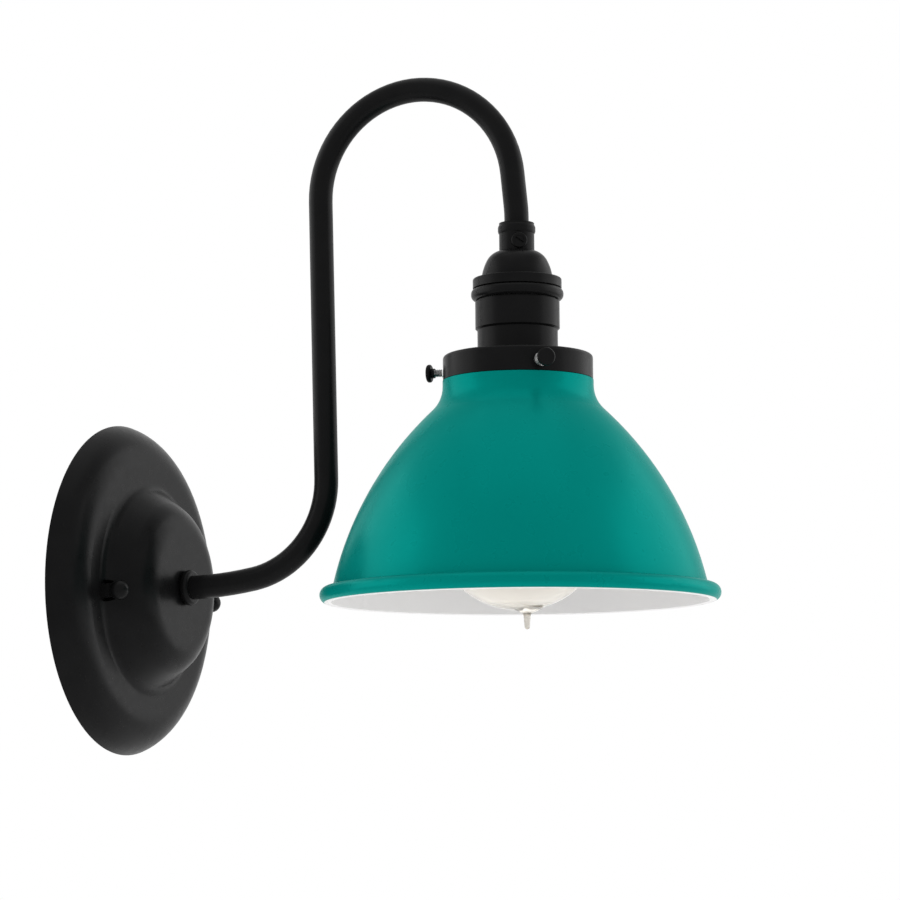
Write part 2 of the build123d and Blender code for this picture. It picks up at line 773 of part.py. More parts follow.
def contact_strip(line):
    """Strip of the contact's width, with its upper face along a line of (x, height)."""
    below = [(x, z - contact_strip_thickness) for x, z in reversed(line)]
    outline = Plane.XZ * make_face(Polyline(*line, *below, close=True))
    return extrude(outline, contact_strip_width / 2, both=True)


contact_root_level = body_seat + contact_slot_depth


def make_contact_root():
    """Riveted root of the springy contact, in the body's slot."""
    end = contact_bend_x - contact_hinge_gap
    root = contact_strip([(contact_root_x, contact_root_level), (end, contact_root_level)])
    root -= Pos(-terminal_rivet_x, 0, 0) * rod(rivet_radius, contact_face, contact_root_level)
    return in_socket(root)


def make_centre_contact():
    """Springy tongue from the root's bend to the pad on the socket's axis."""
    pad_level = contact_face + contact_strip_thickness
    return in_socket(contact_strip([
        (contact_bend_x, contact_root_level),
        (contact_pad_x, pad_level),
        (contact_tip_x, pad_level),
    ]))


def make_contact_rivet():
    """Rivet through the tongue's root, the body and the hot terminal's foot."""
    low = body_seat + contact_slot_depth - contact_strip_thickness
    high = body_top + terminal_thickness
    rivet = rod(rivet_radius, low, high)
    rivet += rod(rivet_head_radius, low - rivet_head_height, low)
    rivet += rod(rivet_head_radius, high, high + rivet_head_height)
    return in_socket(Pos(-terminal_rivet_x, 0, 0) * rivet)


def make_terminal(side):
    """Plate beside the body's block, with a riveted foot on the flange."""
    foot_top = body_top + terminal_thickness
    plate = Box(terminal_thickness, terminal_width, terminal_height)
    plate = Pos(block_face + terminal_thickness / 2, 0, body_top + terminal_height / 2) * plate
    foot = Box(terminal_foot, terminal_width, terminal_thickness)
    plate += Pos(block_face + terminal_foot / 2, 0, body_top + terminal_thickness / 2) * foot
    plate -= Pos(terminal_rivet_x, 0, 0) * rod(rivet_radius, body_top, foot_top)
    hole = rod(terminal_screw_radius + thread_gap, block_face, block_face + terminal_thickness)
    plate -= radially(hole, 0, body_top + terminal_screw_rise)
    return in_socket(Rot(0, 0, 0 if side > 0 else 180) * plate)


def make_terminal_screw(side):
    """Slotted binding screw on a terminal."""
    face = block_face + terminal_thickness
    head_top = face + terminal_head_height
    shank_end = block_face - terminal_screw_length
    screw = rod(terminal_screw_radius - thread_gap, shank_end, face)
    screw += rod(terminal_head_radius, face, head_top)
    screw -= slot_across(terminal_head_radius, head_top)
    angle = 0 if side > 0 else 180
    return in_socket(radially(screw, angle, body_top + terminal_screw_rise))


# ---------------------------------------------------------------- shade holder
def make_shade_holder():
    """Shallow cup with a flat top, which hangs on the shell's thread."""
    holder = rod(holder_radius, holder_end, holder_top)
    holder = fillet(holder.edges().group_by(Axis.Z)[-1], holder_rounding)
    room = rod(holder_radius - holder_sheet, holder_end, holder_top - holder_sheet)
    room = fillet(room.edges().group_by(Axis.Z)[-1], holder_rounding - holder_sheet)
    holder -= room
    holder -= rod(fitter_thread_radius + holder_thread_gap, holder_end, holder_top)
    for angle in thumb_angles:
        hole = rod(insert_neck_radius, shade_lip_radius, insert_outer_face)
        holder -= radially(hole, angle, thumb_level)
    return in_socket(holder)


def make_ring_nut():
    """Notched ring nut that clamps the holder against the shell's shoulder."""
    low = ring_nut_top - ring_nut_height
    nut = ring(ring_nut_radius, fitter_thread_radius + thread_gap, low, ring_nut_top)
    for step in range(ring_nut_notches):
        notch = Box(2 * ring_nut_notch, ring_nut_notch, ring_nut_height)
        place = Rot(0, 0, 360 / ring_nut_notches * step) * Pos(ring_nut_radius, 0, low)
        nut -= place * notch
    return in_socket(nut)


def make_inserts(holder):
    """Three tapped bushings riveted in the holder's wall, one for each thumbscrew."""
    pieces = []
    for angle in thumb_angles:
        insert = rod(insert_radius, insert_inner_face, insert_outer_face)
        insert -= rod(thumb_radius + thumb_thread_gap, insert_inner_face, insert_outer_face)
        pieces.append(in_socket(radially(insert, angle, thumb_level)) - holder)
    return Compound(pieces)


def make_thumb_shank(angle):
    """Plated shank of one thumbscrew, with its tip by the shade's neck."""
    tip = shade_neck_radius + thumb_tip_gap
    shank = rod(thumb_radius, tip, thumb_head_face - thumb_head_cover)
    tip_edge = shank.edges().filter_by(GeomType.CIRCLE).group_by(Axis.Z)[0]
    shank = chamfer(tip_edge, thumb_tip_chamfer)
    return in_socket(radially(shank, angle, thumb_level))


def make_thumb_head(angle):
    """Round head of one thumbscrew, with a hub over the shank's end."""
    back = thumb_head_face - thumb_head_height
    head = rod(thumb_head_radius, back, thumb_head_face)
    head = fillet(head.edges().filter_by(GeomType.CIRCLE), thumb_head_rounding)
    head += rod(thumb_hub_radius, back - thumb_hub_height, back + thumb_head_rounding)
    bore_end = thumb_head_face - thumb_head_cover + thumb_end_gap
    head -= rod(thumb_radius + thumb_thread_gap, back - thumb_hub_height, bore_end)
    return in_socket(radially(head, angle, thumb_level))


# ---------------------------------------------------------------- shade
def shade_solid(inset, skirt_length):
    """Everything under one face of the shade's wall."""
    top = shade_top - inset
    edge = shade_collar_radius - inset
    lid = Line((0, top), (edge, top))
    collar = Line(lid @ 1, (edge, shade_top - shade_collar_height))
    hollow = JernArc(collar @ 1, (0, -1), shade_hollow_radius + inset, shade_hollow_turn)
    dome = JernArc(hollow @ 1, hollow % 1, shade_dome_radius - inset, -shade_dome_turn)
    skirt = PolarLine(dome @ 1, skirt_length, direction=dome % 1)
    floor = Line(skirt @ 1, (0, (skirt @ 1).Y))
    axis = Line(floor @ 1, lid @ 0)
    return turned([lid, collar, hollow, dome, skirt, floor, axis])


def lowest_circle(solid):
    """The lowest edge that runs round the shade."""
    circles = solid.edges().filter_by(GeomType.CIRCLE)
    return circles.filter_by(lambda edge: edge.radius > shade_neck_radius).sort_by(Axis.Z)[0]


def make_shade():
    """Spun shade: gripped neck with a lip, step under the holder, dome and rolled rim."""
    outside = shade_solid(0, shade_skirt_length)
    edge = lowest_circle(outside)
    rim = Pos(0, 0, edge.arc_center.Z) * Torus(edge.radius + rim_outset, rim_radius)
    shade = outside + rim - shade_solid(shade_sheet, shade_skirt_length + 2 * rim_radius)
    shade = fillet(lowest_circle(shade), rim_lip_rounding)
    lip_level = thumb_level + thumb_radius + shade_lip_clear + shade_lip_bead
    lip_centre = shade_lip_radius - shade_lip_bead
    neck_bore = shade_neck_radius - shade_sheet
    shade += rod(shade_neck_radius, shade_top, lip_level)
    shade += Pos(0, 0, lip_level) * Torus(lip_centre, shade_lip_bead)
    shade -= rod(neck_bore, shade_top - 2 * shade_sheet, lip_level + 2 * shade_lip_bead)
    return in_socket(shade)


# ---------------------------------------------------------------- bulb
def make_foot_contact():
    """Solder button at the end of the bulb's base."""
    button = Cone(foot_radius_low, foot_radius_top, foot_contact_height)
    return in_socket(Pos(0, 0, bulb_top - foot_contact_height / 2) * button)


def make_base_insulator():
    """Glass insulator between the foot contact and the base shell."""
    high = bulb_top - foot_contact_height
    cone = Cone(insulator_radius, foot_radius_low, insulator_height)
    return in_socket(Pos(0, 0, high - insulator_height / 2) * cone)


base_top = bulb_top - foot_contact_height - insulator_height
base_end = base_top - base_length


def base_solid(inset):
    """Everything under one face of the base shell, with its rounded thread rings."""
    body_radius = base_radius - base_thread_depth / 2 - inset
    base = rod(body_radius, base_end, base_top - base_shoulder)
    for turn in range(base_threads):
        level = base_top - base_shoulder - base_pitch * (turn + 0.5)
        crest = base_pitch / 4 + base_thread_depth / 2
        base += Pos(0, 0, level) * Torus(body_radius - base_pitch / 4, crest)
    shoulder = Cone(body_radius, insulator_radius - inset, base_shoulder - inset)
    base += Pos(0, 0, base_top - (base_shoulder + inset) / 2) * shoulder
    return base


def make_base_shell():
    """Thin metal shell of the bulb's base."""
    shell = base_solid(0) - base_solid(base_sheet)
    shell -= rod(insulator_radius - base_lip, base_top - base_shoulder, base_top)
    return in_socket(shell)


def glass_solid(inset):
    """Everything under one face of the bulb's glass, from its floor to its neck."""
    slope = radians(cone_slope)
    start = (0, -glass_floor_drop + inset)
    widest = (floor_radius * sin(radians(floor_turn))
              + knuckle_radius * (cos(slope) - sin(radians(floor_turn))))
    narrowest = glass_neck_radius + throat_radius * (1 - cos(slope))
    floor = JernArc(start, (1, 0), floor_radius - inset, floor_turn)
    knuckle_turn = 90 + cone_slope - floor_turn
    knuckle = JernArc(floor @ 1, floor % 1, knuckle_radius - inset, knuckle_turn)
    cone = PolarLine(knuckle @ 1, (widest - narrowest) / sin(slope), direction=knuckle % 1)
    throat = JernArc(cone @ 1, cone % 1, throat_radius + inset, -cone_slope)
    neck = Line(throat @ 1, (glass_neck_radius - inset, base_end + glass_in_base))
    lid = Line(neck @ 1, (0, base_end + glass_in_base))
    axis = Line(lid @ 1, start)
    return turned([floor, knuckle, cone, throat, neck, lid, axis])


def tip_solid():
    """Drawn tip under the bulb's floor, with a funnel where it leaves the glass."""
    end_level = -glass_floor_drop - tip_length
    end = JernArc((0, end_level), (1, 0), tip_end_radius, tip_end_turn)
    side = Line(end @ 1, (tip_root_radius, -glass_floor_drop - tip_root_drop))
    flare = JernArc(side @ 1, side % 1, tip_flare_radius, -tip_flare_turn)
    funnel = PolarLine(flare @ 1, tip_funnel_length, direction=flare % 1)
    lid = Line(funnel @ 1, (0, (funnel @ 1).Y))
    axis = Line(lid @ 1, (0, end_level))
    return Pos(0, -tip_offset, 0) * turned([end, side, flare, funnel, lid, axis])


def make_bulb_glass():
    """Thin glass envelope with a drawn tip, open at its neck."""
    glass = glass_solid(0) + tip_solid()
    glass -= glass_solid(glass_wall)
    return in_socket(glass)


def make_stem(wires):
    """Glass mount: flare sealed on the neck's end, tube, rod and two buttons round the wires."""
    glass_top = base_end + glass_in_base
    flare_low = glass_top - stem_flare_height
    flare_radius = glass_neck_radius - glass_wall - cement_gap
    flare = Cone(stem_tube_radius, flare_radius, stem_flare_height)
    hollow = Cone(stem_tube_radius - glass_wall, flare_radius - glass_wall, stem_flare_height)
    stem = Pos(0, 0, glass_top - stem_flare_height / 2) * flare
    stem += rod(glass_neck_radius, glass_top, glass_top + glass_wall)
    stem += rod(stem_tube_radius, -stem_press_drop, flare_low)
    stem -= Pos(0, 0, glass_top + glass_wall - stem_flare_height / 2) * hollow
    stem -= rod(stem_tube_radius - glass_wall, stem_press_height - stem_press_drop,
                flare_low + glass_wall)
    stem += rod(stem_rod_radius, -cage_low_drop, -stem_press_drop)
    stem += Pos(0, 0, -cage_low_drop) * Sphere(stem_button_radius)
    stem += Pos(0, 0, -cage_top_drop) * Sphere(stem_button_radius)
    return in_socket(stem) - wires


def cage_point(step):
    """A turning point of the filament, alternately at the top and at the bottom."""
    angle = radians(360 / (cage_legs + 1) * step)
    radius = cage_low_radius if step % 2 else cage_top_radius
    level = -cage_low_drop if step % 2 else -cage_top_drop
    return (radius * cos(angle), radius * sin(angle), level)


def make_filament():
    """Carbon filament, up and down round the stem."""
    points = [cage_point(step) for step in range(cage_legs + 1)]
    return in_socket(wire_along(FilletPolyline(*points, radius=filament_corner), filament_radius))


def make_filament_supports():
    """Fine hooks from the stem's two buttons to the filament's turns."""
    hooks = []
    for step in range(1, cage_legs):
        x, y, level = cage_point(step)
        reach = dist((0, 0), (x, y))
        inner = support_seat / reach
        outer = 1 - (filament_radius + support_radius) / reach
        hook_level = level + (support_offset if step % 2 else -support_offset)
        start = (x * inner, y * inner, hook_level)
        end = (x * outer, y * outer, hook_level)
        hooks.append(in_socket(rod_between(start, end, support_radius)))
    return Compound(hooks)


def make_feed_wires():
    """Two lead-in wires from the stem's press to the filament's ends."""
    wires = []
    for step in (0, cage_legs):
        x, y, level = cage_point(step)
        share = (stem_tube_radius - feed_wire_inset) / cage_top_radius
        route = FilletPolyline(
            (x * share, y * share, -stem_press_drop + feed_wire_sealed),
            (x * share, y * share, -stem_press_drop - feed_wire_radius),
            (x, y, level + feed_wire_radius),
            radius=3 * feed_wire_radius,
        )
        wires.append(in_socket(wire_along(route, feed_wire_radius)))
    return Compound(wires)


# ---------------------------------------------------------------- write every node
os.makedirs("parts", exist_ok=True)

save(make_mounting_bar(), "mounting_bar")
save(make_studs(), "canopy_studs")
save(make_jam_nuts(), "jam_nuts")
save(make_ground_screw(), "ground_screw")
save(make_canopy(), "canopy")
save(make_ball_nut(stud_places[0]), "ball_nut_left")
save(make_ball_nut(stud_places[1]), "ball_nut_right")

save(make_arm(), "arm")
save(make_arm_collar(), "arm_collar")
save(make_lock_washer(), "lock_washer")
save(make_lock_nut(), "lock_nut")
save(make_wire_bushing(), "wire_bushing")

hot_route = lead_route(-1, "hot lead")
neutral_route = lead_route(1, "neutral lead")
save(wire_along(hot_route, lead_radius), "hot_lead")
save(wire_along(neutral_route, lead_radius), "neutral_lead")
save(make_connectors([hot_route, neutral_route]), "wire_connectors")
save(make_ring_terminal(), "ring_terminal")
save(make_ground_lead(), "ground_lead")

save(make_socket_cap(), "socket_cap")
save(make_set_screw(), "set_screw")
save(make_bead_ring(), "bead_ring")
save(make_socket_shell(), "socket_shell")
save(make_cap_liner(), "cap_liner")
save(make_shell_sleeve(), "shell_sleeve")
save(make_socket_body(), "socket_body")
save(make_screw_shell(), "screw_shell")
save(make_shell_rivets(), "shell_rivets")
save(make_contact_root(), "contact_root")
save(make_centre_contact(), "centre_contact")
save(make_contact_rivet(), "contact_rivet")
save(make_terminal(-1), "hot_terminal")
save(make_terminal(1), "neutral_terminal")
save(make_terminal_screw(-1), "hot_terminal_screw")
save(make_terminal_screw(1), "neutral_terminal_screw")

shade_holder = make_shade_holder()
save(shade_holder, "shade_holder")
save(make_ring_nut(), "ring_nut")
save(make_inserts(shade_holder), "screw_bushings")
for number, angle in enumerate(thumb_angles, start=1):
    save(make_thumb_shank(angle), f"thumbscrew_shank_{number}")
    save(make_thumb_head(angle), f"thumbscrew_head_{number}")

save(make_shade(), "shade")

save(make_foot_contact(), "bulb_foot_contact")
save(make_base_insulator(), "bulb_insulator")
save(make_base_shell(), "bulb_base_shell")
save(make_bulb_glass(), "bulb_glass")
supports = make_filament_supports()
feed_wires = make_feed_wires()
save(make_stem([supports, feed_wires]), "bulb_stem")
save(make_filament(), "filament")
save(supports, "filament_supports")
save(feed_wires, "filament_feed_wires")
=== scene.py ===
from math import cos, pi, radians, sin, tan

import bmesh
import bpy
from mathutils import Matrix, Vector


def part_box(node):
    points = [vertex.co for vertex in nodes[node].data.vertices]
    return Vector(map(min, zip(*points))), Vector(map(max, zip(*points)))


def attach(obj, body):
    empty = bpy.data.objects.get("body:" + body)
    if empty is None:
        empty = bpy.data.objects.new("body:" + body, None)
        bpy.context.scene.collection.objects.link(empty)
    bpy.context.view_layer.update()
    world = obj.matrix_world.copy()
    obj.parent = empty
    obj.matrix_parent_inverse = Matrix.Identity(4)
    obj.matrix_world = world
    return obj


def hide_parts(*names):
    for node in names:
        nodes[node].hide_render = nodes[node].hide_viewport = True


# Looks of the gooseneck wall sconce, in metres, in the frame of the solids:
# the wall is the plane Y = 0, the room is at -Y and +Z is up.

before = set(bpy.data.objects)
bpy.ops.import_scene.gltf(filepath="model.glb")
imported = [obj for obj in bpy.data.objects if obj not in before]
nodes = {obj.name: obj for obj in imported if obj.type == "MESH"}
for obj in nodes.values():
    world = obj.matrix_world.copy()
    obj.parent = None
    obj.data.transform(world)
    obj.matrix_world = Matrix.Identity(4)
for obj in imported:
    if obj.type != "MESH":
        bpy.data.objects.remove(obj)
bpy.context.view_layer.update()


def middle(node):
    """The middle of a solid's box."""
    low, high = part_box(node)
    return (low + high) / 2


def along(direction, origin):
    """The place of an object whose own Z runs along a direction from an origin."""
    turn = Vector(direction).to_track_quat("Z", "Y").to_matrix().to_4x4()
    return Matrix.Translation(origin) @ turn


socket_axis = middle("bead_ring")
socket_axis.z = 0


# ---------------------------------------------------------------- camera
view_azimuth = radians(-68.226)
view_elevation = radians(-6.954)
view_roll = radians(-0.393)
camera_place = Vector((-1.163453, -0.617558, -0.095441))
camera_lens = 120
camera_sensor = 36
nearest_seen = 0.05
farthest_seen = 50


def view_directions():
    """Right, up and backward directions of the camera."""
    back = Vector((
        sin(view_azimuth) * cos(view_elevation),
        -cos(view_azimuth) * cos(view_elevation),
        sin(view_elevation),
    ))
    level = (-back).cross(Vector((0, 0, 1))).normalized()
    upright = level.cross(-back)
    right = cos(view_roll) * level + sin(view_roll) * upright
    up = -sin(view_roll) * level + cos(view_roll) * upright
    return right, up, back


def add_camera():
    """The camera at the photograph's viewing angle."""
    data = bpy.data.cameras.new("camera")
    data.lens = camera_lens
    data.sensor_width = camera_sensor
    data.clip_start = nearest_seen
    data.clip_end = farthest_seen
    camera = bpy.data.objects.new("camera", data)
    bpy.context.scene.collection.objects.link(camera)
    turn = Matrix(view_directions()).transposed().to_4x4()
    camera.matrix_world = Matrix.Translation(camera_place) @ turn
    bpy.context.scene.camera = camera


# ---------------------------------------------------------------- light
light_target = Vector((0, -0.11, 0.07))
ambient_strength = 0.68
side_distance = 1.6      # of the side softboxes, to the camera's right and left
side_rise = 0.2
side_setback = 0.35      # behind the object, as the camera sees it
side_size = 2.0
side_power = 19
top_distance = 1.5
top_size = 1.4
top_power = 3
low_distance = 0.34
low_size = 0.9
low_power = 1.0

floor_level = -0.3
floor_half = 1.6
floor_middle = -0.1      # its place along Y
fade_start = 0.25        # from here out the floor fades to the white of the surround
fade_end = 1.3
fade_strength = 0.4


def add_softbox(name, place, size, power):
    """A square area lamp that faces the object and isn't seen itself."""
    data = bpy.data.lights.new(name, "AREA")
    data.size = size
    data.energy = power
    lamp = bpy.data.objects.new(name, data)
    bpy.context.scene.collection.objects.link(lamp)
    lamp.visible_camera = False
    lamp.matrix_world = along((place - light_target).normalized(), place)


def add_lights():
    """A large softbox on each side, one overhead and a weak one under the shade."""
    right, up, back = view_directions()
    for name, side in (("right_box", side_distance), ("left_box", -side_distance)):
        place = light_target + right * side + up * side_rise - back * side_setback
        add_softbox(name, place, side_size, side_power)
    add_softbox("top_box", light_target + up * top_distance, top_size, top_power)
    add_softbox("low_box", light_target - Vector((0, 0, low_distance)), low_size, low_power)


def add_world():
    """An even surround, white where the camera, a reflection or glass shows it."""
    world = bpy.data.worlds.new("surround")
    bpy.context.scene.world = world
    world.use_nodes = True
    tree = world.node_tree
    background = tree.nodes["Background"]
    background.inputs["Color"].default_value = (1, 1, 1, 1)
    path = tree.nodes.new("ShaderNodeLightPath")
    seen = path.outputs["Is Camera Ray"]
    for kind in ("Is Glossy Ray", "Is Transmission Ray"):
        both = tree.nodes.new("ShaderNodeMath")
        both.operation = "MAXIMUM"
        tree.links.new(seen, both.inputs[0])
        tree.links.new(path.outputs[kind], both.inputs[1])
        seen = both.outputs[0]
    level = tree.nodes.new("ShaderNodeMapRange")
    level.inputs["To Min"].default_value = ambient_strength
    level.inputs["To Max"].default_value = 1.0
    tree.links.new(seen, level.inputs["Value"])
    tree.links.new(level.outputs["Result"], background.inputs["Strength"])


def add_floor():
    """Pale floor that keeps the object's shadow and fades to white further out."""
    mesh = bpy.data.meshes.new("floor")
    corners = [(-1, -1), (1, -1), (1, 1), (-1, 1)]
    points = [(x * floor_half, y * floor_half + floor_middle, floor_level) for x, y in corners]
    mesh.from_pydata(points, [], [(0, 1, 2, 3)])
    floor = bpy.data.objects.new("floor", mesh)
    bpy.context.scene.collection.objects.link(floor)
    surface = Surface("floor_paint", roughness=0.9, specular=0.1)
    surface.colour_mottle((0.86, 0.86, 0.86), (0.9, 0.9, 0.9), 6)
    distance = surface.vector("DISTANCE", surface.place, (0, floor_middle, floor_level))
    fade = surface.spread(distance, 0, fade_strength, fade_start, fade_end)
    to_camera = surface.add("ShaderNodeLightPath").outputs["Is Camera Ray"]
    glow = surface.math("MULTIPLY", fade, to_camera)
    surface.set("Emission Color", (1, 1, 1, 1))
    surface.join(glow, surface.shader.inputs["Emission Strength"])
    mesh.materials.append(surface.material)


# ---------------------------------------------------------------- materials
class Surface:
    """A material that is built up node by node on its own principled shader."""

    def __init__(self, name, roughness=0.5, metallic=0.0, specular=0.5):
        self.material = bpy.data.materials.new(name)
        self.material.use_nodes = True
        self.tree = self.material.node_tree
        self.shader = self.tree.nodes["Principled BSDF"]
        self.place = self.add("ShaderNodeTexCoord").outputs["Object"]
        self.set("Roughness", roughness)
        self.set("Metallic", metallic)
        self.set("Specular IOR Level", specular)

    def add(self, kind, **settings):
        """A new node with its settings."""
        node = self.tree.nodes.new(kind)
        for key, value in settings.items():
            setattr(node, key, value)
        return node

    def set(self, socket, value):
        """A value on one of the shader's own sockets."""
        self.shader.inputs[socket].default_value = value

    def join(self, source, target):
        """A link between two sockets."""
        self.tree.links.new(source, target)

    def math(self, operation, first, second):
        """The result of a math node on two sockets."""
        node = self.add("ShaderNodeMath", operation=operation)
        self.join(first, node.inputs[0])
        self.join(second, node.inputs[1])
        return node.outputs[0]

    def vector(self, operation, first, second=None):
        """The result of a vector math node on a socket and a socket or numbers."""
        node = self.add("ShaderNodeVectorMath", operation=operation)
        self.join(first, node.inputs[0])
        if isinstance(second, (tuple, Vector)):
            node.inputs[1].default_value = second
        elif second is not None:
            self.join(second, node.inputs[1])
        if operation in ("DISTANCE", "DOT_PRODUCT"):
            return node.outputs["Value"]
        return node.outputs["Vector"]

    def noise(self, scale, detail=3.0, stretch=(1, 1, 1), distortion=0.0):
        """Noise in the object's own space. Scale is in cells per metre."""
        mapping = self.add("ShaderNodeMapping")
        mapping.inputs["Scale"].default_value = stretch
        self.join(self.place, mapping.inputs["Vector"])
        node = self.add("ShaderNodeTexNoise")
        node.inputs["Scale"].default_value = scale
        node.inputs["Detail"].default_value = detail
        node.inputs["Distortion"].default_value = distortion
        self.join(mapping.outputs["Vector"], node.inputs["Vector"])
        return node.outputs["Fac"]

    def spread(self, value, low, high, start=0.3, end=0.7):
        """A value mapped from start..end to low..high."""
        node = self.add("ShaderNodeMapRange")
        self.join(value, node.inputs["Value"])
        node.inputs["From Min"].default_value = start
        node.inputs["From Max"].default_value = end
        node.inputs["To Min"].default_value = low
        node.inputs["To Max"].default_value = high
        return node.outputs["Result"]

    def mix(self, share, first, second):
        """Two colours, or colour sockets, mixed by a share."""
        node = self.add("ShaderNodeMix", data_type="RGBA")
        self.join(share, node.inputs["Factor"])
        for key, value in (("A", first), ("B", second)):
            socket = [s for s in node.inputs if s.name == key and s.type == "RGBA"][0]
            if isinstance(value, tuple):
                socket.default_value = (*value, 1)
            else:
                self.join(value, socket)
        return [s for s in node.outputs if s.type == "RGBA"][0]

    def colour(self, source):
        """The shader's base colour from a socket."""
        self.join(source, self.shader.inputs["Base Color"])

    def colour_mottle(self, first, second, scale, detail=4.0):
        """A slow drift between two close colours."""
        self.colour(self.mix(self.spread(self.noise(scale, detail), 0, 1), first, second))

    def rough(self, low, high, scale, detail=3.0, stretch=(1, 1, 1)):
        """Roughness that varies between two values."""
        value = self.spread(self.noise(scale, detail, stretch), low, high)
        self.join(value, self.shader.inputs["Roughness"])

    def relief(self, layers):
        """Bumps from several heights, each (socket, depth in metres)."""
        normal = None
        for height, depth in layers:
            node = self.add("ShaderNodeBump")
            node.inputs["Distance"].default_value = depth
            self.join(height, node.inputs["Height"])
            if normal is not None:
                self.join(normal, node.inputs["Normal"])
            normal = node.outputs["Normal"]
        self.join(normal, self.shader.inputs["Normal"])


def satin_black(name, grain=1500):
    """Powder coat: near black, fine orange peel, slightly uneven sheen."""
    peel_depth = 0.00001
    surface = Surface(name, specular=0.06)
    surface.colour_mottle((0.0045, 0.0045, 0.0047), (0.0062, 0.0062, 0.0064), 90)
    surface.rough(0.26, 0.34, 240)
    peel = surface.noise(grain, 2)
    waves = surface.noise(260, 1)
    surface.relief([(waves, peel_depth * 2), (peel, peel_depth)])
    return surface.material


def plated(name, first, second, roughness=(0.22, 0.38)):
    """Bright plated steel with fine tumbling marks."""
    surface = Surface(name, metallic=1.0)
    surface.colour_mottle(first, second, 500)
    surface.rough(*roughness, 900)
    surface.relief([(surface.noise(2500, 3), 0.000006)])
    return surface.material


def moulded(name, first, second, roughness=(0.38, 0.5)):
    """Moulded plastic with a faint grain."""
    surface = Surface(name, specular=0.4)
    surface.colour_mottle(first, second, 150)
    surface.rough(*roughness, 600)
    surface.relief([(surface.noise(1800, 3), 0.00001)])
    return surface.material


def pressed_fibre(name):
    """Dark insulating board with short fibres."""
    surface = Surface(name, roughness=0.85, specular=0.2)
    fibres = surface.noise(900, 5, (1, 1, 0.25), 1.2)
    surface.colour(surface.mix(fibres, (0.05, 0.035, 0.025), (0.13, 0.095, 0.065)))
    surface.relief([(fibres, 0.00006)])
    return surface.material


paint_edge = tan(radians(25))  # white starts this far before the bottom of the rolled rim
paint_edge_blur = 0.02
flake_share = 0.2              # of the teal's look that comes from metal flake in it


def shade_paint():
    """Teal gloss with fine flake outside and on the rolled rim, white enamel inside."""
    surface = Surface("shade_paint", specular=0.012)
    surface.set("Specular Tint", (0.25, 1.0, 0.92, 1))
    normal = surface.add("ShaderNodeNewGeometry").outputs["Normal"]
    offset = surface.vector("SUBTRACT", surface.place, socket_axis)
    flat = surface.vector("MULTIPLY", offset, (1, 1, 0))
    outward = surface.vector("NORMALIZE", flat)
    tilted = surface.vector("ADD", outward, (0, 0, paint_edge))
    facing = surface.vector("DOT_PRODUCT", tilted, normal)
    inside = surface.spread(facing, 1, 0, -paint_edge_blur, paint_edge_blur)
    slow = surface.spread(surface.noise(25, 3), 0, 1)
    teal = surface.mix(slow, (0.0002, 0.212, 0.184), (0.0004, 0.222, 0.192))
    white = surface.mix(slow, (0.74, 0.735, 0.735), (0.78, 0.775, 0.77))
    surface.colour(surface.mix(inside, teal, white))
    flake = surface.spread(inside, flake_share, 0, 0, 1)
    surface.join(flake, surface.shader.inputs["Metallic"])
    surface.rough(0.26, 0.32, 120)
    surface.relief([(surface.noise(420, 1), 0.000012), (surface.noise(1600, 2), 0.000003)])
    return surface.material


glass_ior = 1.5
tip_length = 0.008       # of the bulb's drawn tip
tip_blend = 0.003        # from clear glass to milky
milky_transmission = 0.45


def bulb_glass():
    """Warm glass, milky on the globe and clear on the drawn tip."""
    surface = Surface("bulb_glass_clear")
    surface.set("IOR", glass_ior)
    height = surface.add("ShaderNodeSeparateXYZ")
    surface.join(surface.place, height.inputs[0])
    globe_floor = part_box("bulb_glass")[0].z + tip_length
    clear = surface.spread(height.outputs["Z"], 1.0, milky_transmission,
                           globe_floor, globe_floor + tip_blend)
    surface.join(clear, surface.shader.inputs["Transmission Weight"])
    surface.colour_mottle((0.985, 0.94, 0.86), (0.99, 0.955, 0.885), 60)
    surface.rough(0.04, 0.1, 200)
    surface.relief([(surface.noise(90, 2), 0.00003)])
    return surface.material


def stem_glass():
    """Clear drawn glass."""
    surface = Surface("stem_glass")
    surface.set("IOR", glass_ior)
    surface.set("Transmission Weight", 1.0)
    surface.colour_mottle((0.95, 0.96, 0.95), (0.98, 0.985, 0.98), 100)
    surface.rough(0.02, 0.06, 300)
    surface.relief([(surface.noise(200, 2), 0.00004)])
    return surface.material


def bare_metal(name, first, second, grain):
    """Plain metal with drawn lines and slight tarnish."""
    surface = Surface(name, metallic=1.0)
    surface.colour_mottle(first, second, 220)
    surface.rough(0.25, 0.45, 500, 4, grain)
    surface.relief([(surface.noise(1200, 3, grain), 0.00001)])
    return surface.material


def dress(material, *names):
    """One material on several solids."""
    for name in names:
        data = nodes[name].data
        data.materials.clear()
        data.materials.append(material)


